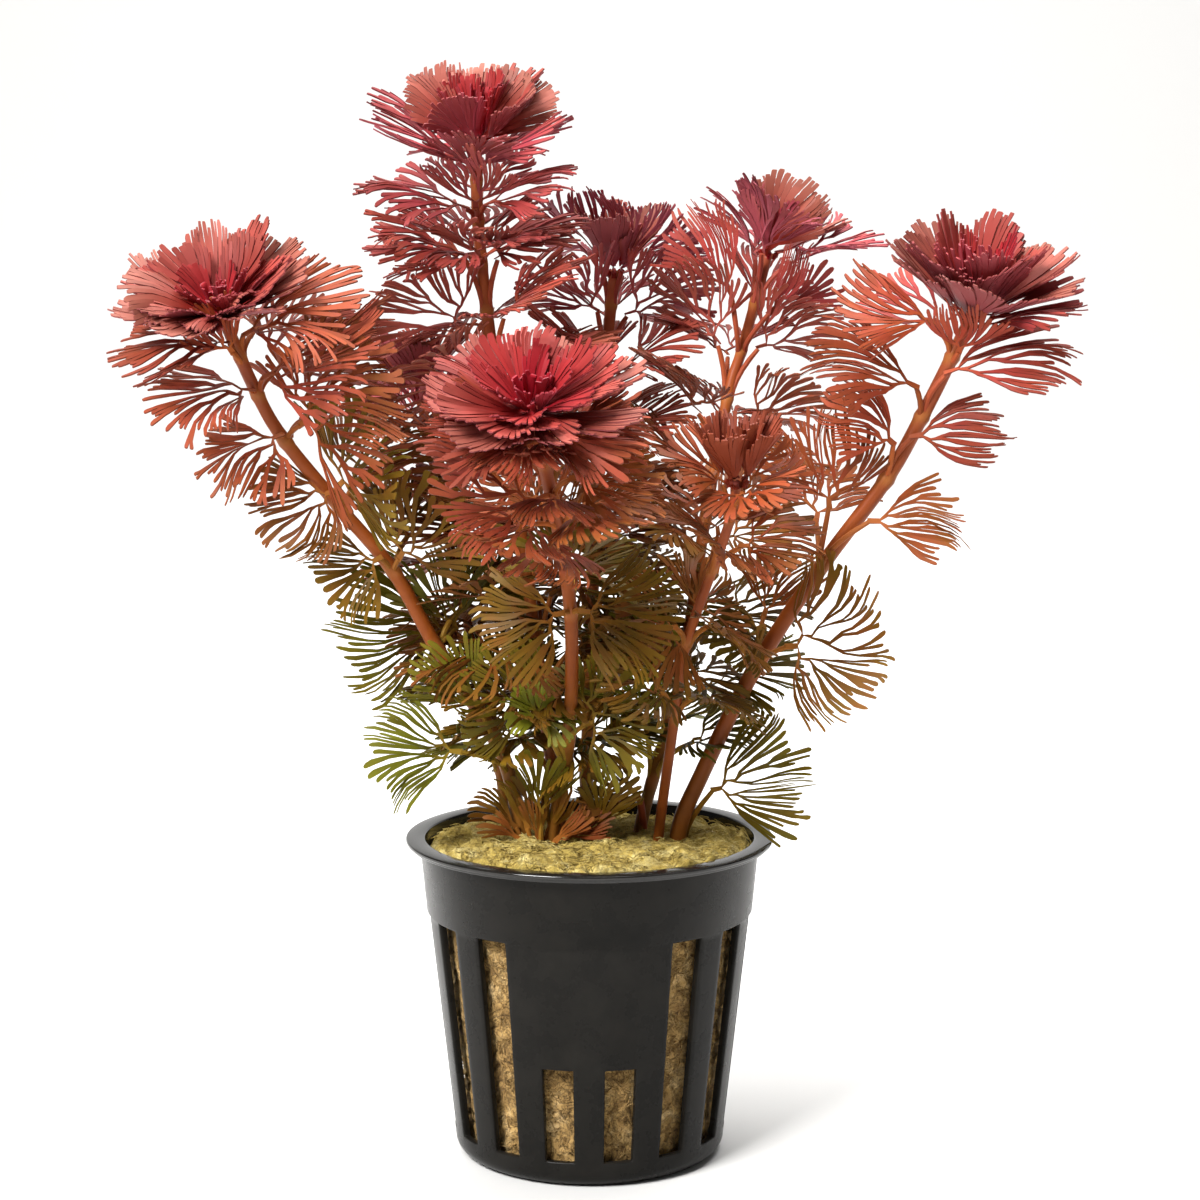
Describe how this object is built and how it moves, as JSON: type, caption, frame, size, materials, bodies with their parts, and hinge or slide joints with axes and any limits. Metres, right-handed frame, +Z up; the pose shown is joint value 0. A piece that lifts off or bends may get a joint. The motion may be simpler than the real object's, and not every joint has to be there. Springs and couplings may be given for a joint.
{
  "type": "potted red cabomba",
  "caption": "Red cabomba aquarium plant: feathery leaf whorls and rosette crowns on slender stems, rooted in a rockwool plug inside a slotted round net pot with a flat rim.",
  "frame": {"origin": "centre of the pot's flat underside, on the pot's own axis", "axes": "+Z up along the pot's axis, away from the surface that it stands on; -Y towards the front, the side with the two short slots; +X to the right of someone who faces that front"},
  "size_m": [0.1462, 0.0937, 0.169],
  "materials": {
    "pot_plastic": "satin",
    "rockwool": "matte",
    "stem": "satin",
    "whorl_leaf": "satin",
    "crown_leaf": "satin"
  },
  "bodies": {
    "root": {"net_pot": "pot_plastic", "rockwool_plug": "rockwool", "centre_stem": "stem", "front_stem": "stem", "left_stem": "stem", "right_back_stem": "stem", "right_stem": "stem", "small_left_stem": "stem", "small_right_stem": "stem", "top_stem": "stem", "young_shoot": "stem", "centre_whorl_1": "whorl_leaf", "centre_whorl_2": "whorl_leaf", "centre_whorl_3": "whorl_leaf", "front_whorl_1": "whorl_leaf", "front_whorl_2": "whorl_leaf", "front_whorl_3": "whorl_leaf", "front_whorl_4": "whorl_leaf", "front_whorl_5": "whorl_leaf", "left_whorl_1": "whorl_leaf", "left_whorl_2": "whorl_leaf", "left_whorl_3": "whorl_leaf", "left_whorl_4": "whorl_leaf", "left_whorl_5": "whorl_leaf", "left_whorl_6": "whorl_leaf", "left_whorl_7": "whorl_leaf", "right_back_whorl_1": "whorl_leaf", "right_back_whorl_2": "whorl_leaf", "right_back_whorl_3": "whorl_leaf", "right_back_whorl_4": "whorl_leaf", "right_whorl_1": "whorl_leaf", "right_whorl_2": "whorl_leaf", "right_whorl_3": "whorl_leaf", "right_whorl_4": "whorl_leaf", "right_whorl_5": "whorl_leaf", "small_left_whorl_1": "whorl_leaf", "small_left_whorl_2": "whorl_leaf", "small_right_whorl_1": "whorl_leaf", "small_right_whorl_2": "whorl_leaf", "small_right_whorl_3": "whorl_leaf", "top_whorl_1": "whorl_leaf", "top_whorl_2": "whorl_leaf", "top_whorl_3": "whorl_leaf", "top_whorl_4": "whorl_leaf", "top_whorl_5": "whorl_leaf", "centre_crown": "crown_leaf", "front_crown": "crown_leaf", "left_crown": "crown_leaf", "right_back_crown": "crown_leaf", "right_crown": "crown_leaf", "small_left_crown": "crown_leaf", "small_right_crown": "crown_leaf", "top_crown": "crown_leaf"}
  },
  "joints": []
}
